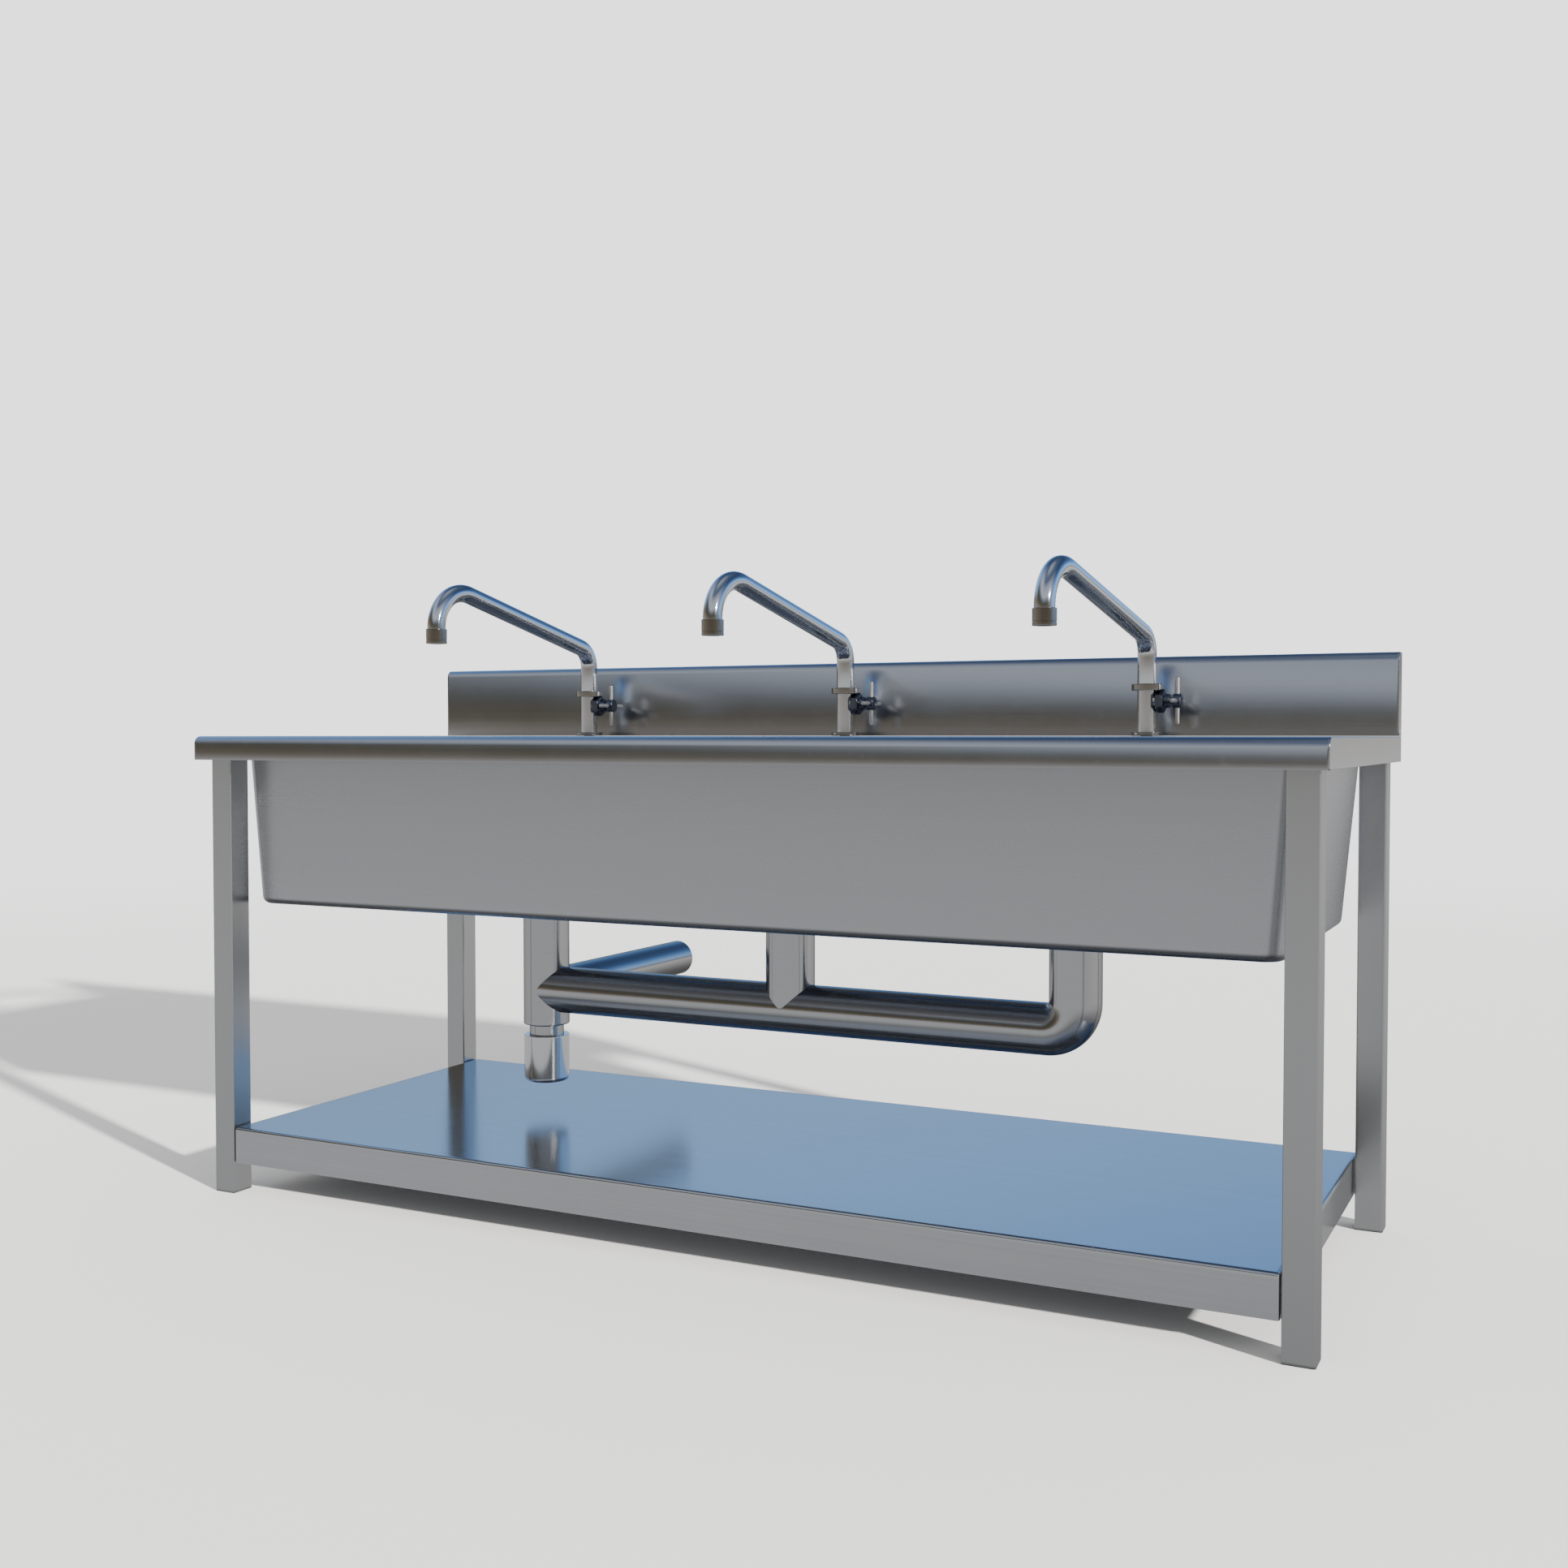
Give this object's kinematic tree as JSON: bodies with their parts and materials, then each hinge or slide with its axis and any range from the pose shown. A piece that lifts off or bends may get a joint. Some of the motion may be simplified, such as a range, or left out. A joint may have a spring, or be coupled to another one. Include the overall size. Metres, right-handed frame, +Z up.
{
  "type": "three compartment sink",
  "caption": "Freestanding stainless steel sink table with one long divided tub, upstand, bottom shelf, swivel spout taps with cross handles and joined waste pipes.",
  "frame": {"origin": "on the floor, in the middle of the whole sink's footprint, outlet pipe included", "axes": "+X to the right along the sink, the user stands at -Y, the wall is at +Y, +Z up"},
  "size_m": [2.018, 0.957, 1.1381],
  "materials": {
    "satin_steel": "satin brushed stainless sheet, lines along the length",
    "tub_steel": "fine matt stainless sheet",
    "frame_steel": "brushed stainless tube, lines along the tube",
    "plug_plastic": "black moulded plastic",
    "pipe_steel": "smooth bright stainless pipe",
    "polished_chrome": "polished chrome plating",
    "satin_nickel": "satin nickel plating",
    "dark_chrome": "dark smoked chrome plating"
  },
  "bodies": {
    "stand": {"worktop": "satin_steel", "backsplash": "satin_steel", "sink_tub": "tub_steel", "divider_left": "tub_steel", "divider_right": "tub_steel", "leg_front_left": "frame_steel", "leg_front_right": "frame_steel", "leg_rear_left": "frame_steel", "leg_rear_right": "frame_steel", "leg_socket_front_left": "frame_steel", "leg_socket_front_right": "frame_steel", "leg_socket_rear_left": "frame_steel", "leg_socket_rear_right": "frame_steel", "leg_plug_front_left": "plug_plastic", "leg_plug_front_right": "plug_plastic", "leg_plug_rear_left": "plug_plastic", "leg_plug_rear_right": "plug_plastic", "undershelf": "satin_steel", "shelf_stiffener": "frame_steel", "waste_pipe_left": "pipe_steel", "waste_manifold": "pipe_steel", "waste_pipe_centre": "pipe_steel", "outlet_pipe": "pipe_steel", "trap_cup": "polished_chrome", "drain_flange_left": "polished_chrome", "drain_locknut_left": "satin_nickel", "tap_body_left": "polished_chrome", "base_flange_left": "satin_nickel", "collar_nut_left": "satin_nickel", "mounting_nut_left": "satin_nickel", "valve_bonnet_left": "dark_chrome", "drain_flange_centre": "polished_chrome", "drain_locknut_centre": "satin_nickel", "tap_body_centre": "polished_chrome", "base_flange_centre": "satin_nickel", "collar_nut_centre": "satin_nickel", "mounting_nut_centre": "satin_nickel", "valve_bonnet_centre": "dark_chrome", "drain_flange_right": "polished_chrome", "drain_locknut_right": "satin_nickel", "tap_body_right": "polished_chrome", "base_flange_right": "satin_nickel", "collar_nut_right": "satin_nickel", "mounting_nut_right": "satin_nickel", "valve_bonnet_right": "dark_chrome"},
    "swivel_left": {"spout_left": "polished_chrome", "aerator_left": "satin_nickel"},
    "handle_left": {"cross_handle_left": "dark_chrome", "valve_spindle_left": "satin_nickel"},
    "basket_left": {"strainer_basket_left": "polished_chrome"},
    "swivel_centre": {"spout_centre": "polished_chrome", "aerator_centre": "satin_nickel"},
    "handle_centre": {"cross_handle_centre": "dark_chrome", "valve_spindle_centre": "satin_nickel"},
    "basket_centre": {"strainer_basket_centre": "polished_chrome"},
    "swivel_right": {"spout_right": "polished_chrome", "aerator_right": "satin_nickel"},
    "handle_right": {"cross_handle_right": "dark_chrome", "valve_spindle_right": "satin_nickel"},
    "basket_right": {"strainer_basket_right": "polished_chrome"}
  },
  "joints": [
    {"name": "spout_swivel_left", "type": "hinge", "parent": "stand", "child": "swivel_left", "pos_m": [-0.5905, 0.2062, 0.95], "axis": [0, 0, 1], "range_deg": [-83.9, 96.1]},
    {"name": "spout_swivel_centre", "type": "hinge", "parent": "stand", "child": "swivel_centre", "pos_m": [0, 0.2062, 0.95], "axis": [0, 0, 1], "range_deg": [-83.9, 96.1]},
    {"name": "spout_swivel_right", "type": "hinge", "parent": "stand", "child": "swivel_right", "pos_m": [0.5905, 0.2062, 0.95], "axis": [0, 0, 1], "range_deg": [-83.9, 96.1]},
    {"name": "handle_turn_left", "type": "hinge", "parent": "stand", "child": "handle_left", "pos_m": [-0.5905, 0.2062, 0.91245], "axis": [1, 0, 0], "range_deg": [0, 180]},
    {"name": "handle_turn_centre", "type": "hinge", "parent": "stand", "child": "handle_centre", "pos_m": [0, 0.2062, 0.91245], "axis": [1, 0, 0], "range_deg": [0, 180]},
    {"name": "handle_turn_right", "type": "hinge", "parent": "stand", "child": "handle_right", "pos_m": [0.5905, 0.2062, 0.91245], "axis": [1, 0, 0], "range_deg": [0, 180]},
    {"name": "basket_lift_left", "type": "slide", "parent": "stand", "child": "basket_left", "axis": [0, 0, 1], "range_m": [0, 0.08]},
    {"name": "basket_lift_centre", "type": "slide", "parent": "stand", "child": "basket_centre", "axis": [0, 0, 1], "range_m": [0, 0.08]},
    {"name": "basket_lift_right", "type": "slide", "parent": "stand", "child": "basket_right", "axis": [0, 0, 1], "range_m": [0, 0.08]}
  ]
}
